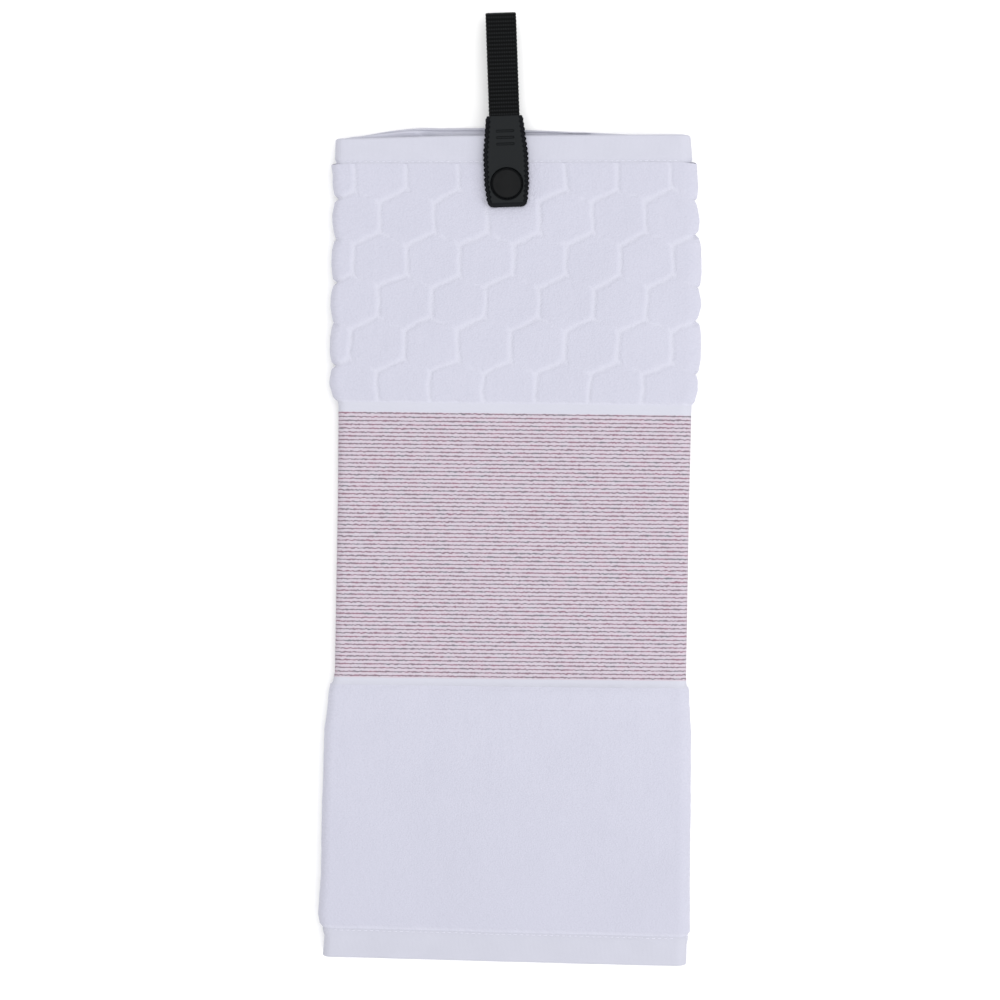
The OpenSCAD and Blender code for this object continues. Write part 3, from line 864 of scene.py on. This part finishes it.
def webbing_loop():
    along, y, z, normal = tape_path()
    half, edge_r = TAPE_W / 2, TAPE_T / 2
    ups = np.linspace(-half + edge_r, half - edge_r, 61)
    bend = np.linspace(-pi / 2, pi / 2, 7)[1:-1]
    outline = [(x, 1, 1) for x in ups]
    outline += [(half - edge_r + edge_r * math.cos(a), math.sin(a), 0) for a in bend[::-1]]
    outline += [(x, -1, -1) for x in ups[::-1]]
    outline += [(-half + edge_r - edge_r * math.cos(a), math.sin(a), 0) for a in bend]
    x, side, on_face = np.array(outline).T
    rings, tape = [], []
    for s, y0, z0, n in zip(along, y, z, normal, strict=True):
        # rows of picks, cut into dots by the warp cords
        wave = math.sin(2 * pi * s / PICK)
        weave = (0.5 + 0.5 * wave) * (0.35 + 0.65 * np.cos(x / CORD * pi) ** 2)
        height = side * (edge_r - RIB_DEPTH + RIB_DEPTH * weave * np.abs(on_face))
        wide = 1 + SELVEDGE * wave
        rings.append(np.stack([x * wide, y0 + n[0] * height, z0 + n[1] * height], -1))
        tape.append(np.stack([x * MM, s * MM + 0 * x, weave], -1))
    piece = swept_rings("webbing_loop", rings, webbing, tape=np.concatenate(tape), sharp_above=75)
    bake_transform(piece)
    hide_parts("rear_webbing", "webbing_crown", "front_webbing")


webbing_loop()

# The tabs: their plain outline, and the bumps along their sides
tab_low, tab_high = size_in_strap_frame("front_tab")
BUMP_PITCH = 2.45
BUMP_OUT = 0.35  # how far a bump's top stands outside the plain outline
BUMP_DEEP = 0.8  # depth of the notch between two bumps, from their tops
RIM_W = 2.0  # width of the sloping rim that the bumps run across
RIM_DROP = 0.55  # drop of the rim's outer edge below the tab's face
BUMP_FIRST = tab_low[1] + 2.6
TAIL_CORNER, HEAD_CORNER = 3.0, 0.7  # radii of the corners at the cap's end and at the webbing's end
TAB_SHOULDER = 15.0  # distance from the snap at which the sides start to taper
TAB_TAIL_W, TAB_HEAD_W = 19.6, 17.6


def bump_wave(y):
    """0 at a notch and 1 on a bump, with the share of the sides that has bumps at all."""
    fade = ramp(y, BUMP_FIRST - 0.4, BUMP_FIRST + 0.6) * (1 - ramp(y, tab_high[1] - 1.2, tab_high[1] - 0.5))
    return abs(math.sin(pi * (y - BUMP_FIRST) / BUMP_PITCH)), fade


def tab_half_width(y):
    """Half-width of a tab, without the rounding at its two ends."""
    tail, head = tab_low[1], tab_high[1]
    widest = (tab_high[0] - tab_low[0]) / 2 - BUMP_OUT
    widths = [TAB_TAIL_W / 2, widest, widest, TAB_HEAD_W / 2]
    plain = np.interp(y, [tail + TAIL_CORNER, 0, TAB_SHOULDER, head], widths)
    wave, fade = bump_wave(y)
    return plain + fade * (BUMP_OUT - BUMP_DEEP * (1 - wave))


def end_draw_in(y, low, high):
    """How far a tab's sides draw in at its rounded corners."""
    corners = ((y - low, TAIL_CORNER), (high - y, HEAD_CORNER))
    return sum(r * (1 - math.sqrt(1 - max(0, min(1, 1 - gap / r)) ** 2)) for gap, r in corners)


def moulded_tab(node, body, face, relief):
    """A tab with soft edges and with relief(x, y) cut into its outer face, which looks to face * z. Its
    attribute rim is 1 where painted shade darkens the rubber: on the rim, on the side walls and deep in a
    cut."""
    low, high = size_in_strap_frame(node)
    edge_r = 0.45
    near_end = np.array([0, 0.02, 0.08, 0.18, 0.32])
    rows = [*(low[1] + near_end), *np.arange(low[1] + 0.5, high[1] - 0.4, 0.2), *(high[1] - near_end[::-1])]
    columns = np.linspace(-1, 1, 121)
    upper, lower = np.linspace(0, pi / 2, 5)[1:], np.linspace(pi / 2, pi, 5)
    rings, rim = [], []
    for y in rows:
        half = tab_half_width(y) - end_draw_in(y, low[1], high[1]) - edge_r
        near = max(0.0, 1 - min(y - low[1], high[1] - y) / edge_r)
        sink = edge_r * (1 - math.sqrt(max(0.0, 1 - near**2)))
        inside, outside = sorted((face * low[2], face * high[2]))
        inside, outside = inside + sink, outside - sink
        wave, fade = bump_wave(y)
        from_side = np.minimum((1 - np.abs(columns)) * half, max(0.0, y - low[1] - edge_r))
        on_rim = 1 - ramp(from_side, RIM_W - 1.1, RIM_W - 0.3)
        cut = relief(columns * half, y + 0 * columns) + on_rim * (RIM_DROP + 0.3 * fade * (1 - wave))
        # painted shade on the sloping rim and deep in a cut, and below on the side walls
        dark = np.maximum(on_rim, ramp(cut, 0.8, 1.3))
        edge = np.ones(len(upper) + len(lower))
        rim.append(np.concatenate([dark, edge, np.zeros(len(columns) - 2), edge])[::face])
        top = [(x, outside - c) for x, c in zip(columns * half, cut, strict=True)]
        right = [(half + edge_r * math.sin(a), outside - edge_r + edge_r * math.cos(a)) for a in upper]
        right += [(half + edge_r * math.sin(a), inside + edge_r + edge_r * math.cos(a)) for a in lower]
        under = [(x, inside) for x in columns[::-1][1:-1] * half]
        left = [(-x, w) for x, w in right[::-1]]
        ring = top + right + under + left
        rings.append(np.array([(x, y, face * w) for x, w in ring])[::face])
    piece = swept_rings(f"{node}_moulding", rings, rubber, sharp_above=60, rim=np.concatenate(rim))
    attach(piece, body)
    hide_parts(node)


CAP_R, CAP_LOW, CAP_TOP = turned_size("snap_cap")
POST, SOCKET, STUD, EYELET = map(turned_size, ("snap_post", "snap_socket", "snap_stud", "towel_eyelet"))
CAP_SEAT, REAR_SEAT = 0.5, 0.65  # depths of the caps' seats
CAP_GROOVE, MOAT_DEPTH = 0.8, 1.4  # width of the groove round the front cap, and its depth below the seat
GRIP_FIRST, GRIP_PITCH, GRIP_COUNT = 19.5, 3.2, 3
GRIP_HALF_LEN, GRIP_DEPTH = 3.9, 0.8
# the socket's bore radius, the radius of the hole in its top, and the top's thickness
SOCKET_BORE, HEAD_BORE, HEAD_T = 2.95, 1.65, 0.4
STUD_R, STUD_HOLLOW = 2.9, 0.25  # radius of the stud's head and depth of the dimple in it
POST_R = 2.1
# the eyelet's barrel radius, bore radius and flange thickness
EYELET_BARREL, EYELET_BORE, EYELET_FLANGE = 3.1, 2.5, 0.5
AXIS_R = 0.05  # radius at which a solid turned piece is closed on its axis


def front_relief(x, y):
    """Depth cut into the front tab: the cap's seat with its raised rim, and the grip grooves."""
    from_cap = np.hypot(x, y)
    seat = CAP_R + CAP_GROOVE
    in_seat = 1 - ramp(from_cap, seat - 0.1, seat + 0.1)
    depth = CAP_SEAT * in_seat + MOAT_DEPTH * (ramp(from_cap, CAP_R - 0.3, CAP_R) * in_seat)
    depth = depth - 0.10 * np.exp(-(((from_cap - seat - 0.7) / 0.6) ** 2))
    for index in range(GRIP_COUNT):
        line = GRIP_FIRST + index * GRIP_PITCH
        off = np.hypot(np.maximum(np.abs(x) - GRIP_HALF_LEN, 0), y - line)
        depth = depth + GRIP_DEPTH * (1 - ramp(off, 0.4, 0.65))
    return depth


def rear_relief(x, y):
    """Depth cut into the rear tab: the seat of the rear cap."""
    return REAR_SEAT * (1 - ramp(np.hypot(x, y), POST[0] + 0.05, POST[0] + 0.3))


moulded_tab("front_tab", "front_clip", 1, front_relief)
moulded_tab("rear_tab", "strap", -1, rear_relief)


def lathe(name, node, body, profile, material, hollow=False):
    """A turned piece about the snap's axis. Its profile runs up outside, and back inside if hollow."""
    turn = np.linspace(0, 2 * pi, 96, endpoint=False)
    if hollow:
        profile = [*profile, profile[0]]
    rings = [np.stack([r * np.cos(turn), r * np.sin(turn), z + 0 * turn], -1) for r, z in profile]
    piece = swept_rings(name, rings, material, closed_ends=not hollow, sharp_above=40)
    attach(piece, body)
    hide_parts(node)


def rounded(corners, radius):
    """A profile whose corners are softened by quarter rounds; the first and last points stay."""
    corners = [np.array(corner, float) for corner in corners]
    path = [corners[0]]
    for before, corner, after in zip(corners, corners[1:], corners[2:], strict=False):
        sides = before - corner, after - corner
        lengths = [np.linalg.norm(side) for side in sides]
        reach = min(radius, *(length / 2.1 for length in lengths))
        start, end = (corner + side / length * reach for side, length in zip(sides, lengths, strict=True))
        for t in np.linspace(0, 1, 5):
            path.append((1 - t) ** 2 * start + 2 * t * (1 - t) * corner + t**2 * end)
    return [*path, corners[-1]]


def cap_profile():
    """Prong, seat, side wall and a shallow dome with a soft shoulder."""
    seat_z = tab_high[2] - CAP_SEAT + 0.02
    prong_r = 1.6
    shoulder, dome_rise = CAP_R - 0.5, 0.12
    path = [(AXIS_R, CAP_LOW), (prong_r, CAP_LOW), (prong_r, seat_z), (CAP_R - 0.1, seat_z),
            (CAP_R, seat_z + 0.48), (CAP_R, CAP_TOP - 0.42), (shoulder, CAP_TOP - dome_rise)]
    dome = [(shoulder * (1 - t), CAP_TOP - dome_rise * (1 - t) ** 2) for t in np.linspace(0.04, 0.99, 14)]
    return rounded(path, 0.3) + dome


r, low, high = SOCKET
head = high - HEAD_T
socket_profile = [(SOCKET_BORE + 0.5, low), (r, low), (r, high), (HEAD_BORE, high), (HEAD_BORE, head),
                  (SOCKET_BORE, head), (SOCKET_BORE, low + 0.2), (SOCKET_BORE + 0.4, low)]
r, low, high = STUD
stud_profile = [(POST_R + 0.02, low), (r, low), (r, low + 0.4), (STUD_R - 0.35, low + 0.42),
                (STUD_R, low + 0.85), (STUD_R - 0.05, low + 1.2), (STUD_R - 0.5, high), (POST_R - 0.6, high),
                (POST_R - 0.8, high - STUD_HOLLOW), (AXIS_R, high - STUD_HOLLOW)]
r, low, high = POST
seat = low + REAR_SEAT
post_profile = [(AXIS_R, low + 0.12), (r - 0.9, low), (r, low + 0.2), (r, seat), (POST_R, seat),
                (POST_R, high), (AXIS_R, high)]
r, low, high = EYELET
half_profile = [(EYELET_BORE, 0.3), (EYELET_BORE + 0.5, 0), (r, 0), (r, EYELET_FLANGE),
                (EYELET_BARREL, EYELET_FLANGE)]
eyelet_profile = [(r, low + depth) for r, depth in half_profile]
eyelet_profile += [(r, high - depth) for r, depth in half_profile[::-1]]

lathe("press_cap", "snap_cap", "front_clip", cap_profile(), plastic)
lathe("press_socket", "snap_socket", "front_clip", rounded(socket_profile, 0.2), plastic, hollow=True)
lathe("press_stud", "snap_stud", "strap", rounded(stud_profile, 0.25), plastic)
lathe("press_post", "snap_post", "strap", rounded(post_profile, 0.25), plastic)
lathe("grommet", "towel_eyelet", "root", rounded(eyelet_profile, 0.2), brass, hollow=True)

# ---- floor, light and camera
whole_low, whole_high = (np.array(corner) for corner in cad_box)
centre = (whole_low + whole_high) / 2
pale = Shader("pale_floor", 0.9, specular=0.2, colour=(0.96, 0.96, 0.96)).material
corners = [(-4000, -4000, 0), (4000, -4000, 0), (4000, 4000, 0), (-4000, 4000, 0)]
floor = new_mesh("floor", corners, [(0, 1, 2, 3)], pale)
floor.location = (centre[0], centre[1], whole_low[2] - 0.0002)


def soft_light(name, azimuth, elevation, distance, size, power):
    """A square soft box that looks at the object's centre."""
    light = bpy.data.lights.new(name, "AREA")
    light.shape, light.size, light.energy = "SQUARE", size, power
    lamp = new_object(name, light)
    turn, rise = math.radians(azimuth), math.radians(elevation)
    out, up = distance * math.cos(rise), distance * math.sin(rise)
    lamp.location = (centre[0] + out * math.cos(turn), centre[1] + out * math.sin(turn), up)
    lamp.rotation_euler = (pi / 2 - rise, 0, turn + pi / 2)


soft_light("key_soft_box", -20, 40, 2.2, 1.4, 16)
soft_light("overhead_soft_box", 90, 89, 2.4, 2.2, 34)

world = bpy.data.worlds.new("studio")
world.use_nodes = True
background = world.node_tree.nodes["Background"]
background.inputs["Color"].default_value = (1, 1, 1, 1)
background.inputs["Strength"].default_value = 0.80
bpy.context.scene.world = world

FRAME_WIDTH = (whole_high[1] - whole_low[1]) / 0.9505
OFF_CENTRE = (-5.4 * MM, -6.65 * MM)
ROLL = 0.67
lens = bpy.data.cameras.new("camera")
lens.lens, lens.sensor_width = 100, 36
lens.clip_end = 20
camera = new_object("camera", lens)
height = FRAME_WIDTH * lens.lens / lens.sensor_width
camera.location = (centre[0] + OFF_CENTRE[0], centre[1] + OFF_CENTRE[1], (FRONT_Z + TERRY_H) * MM + height)
camera.rotation_euler = (0, 0, math.radians(ROLL))
bpy.context.scene.camera = camera
bpy.context.scene.view_settings.view_transform = "Standard"
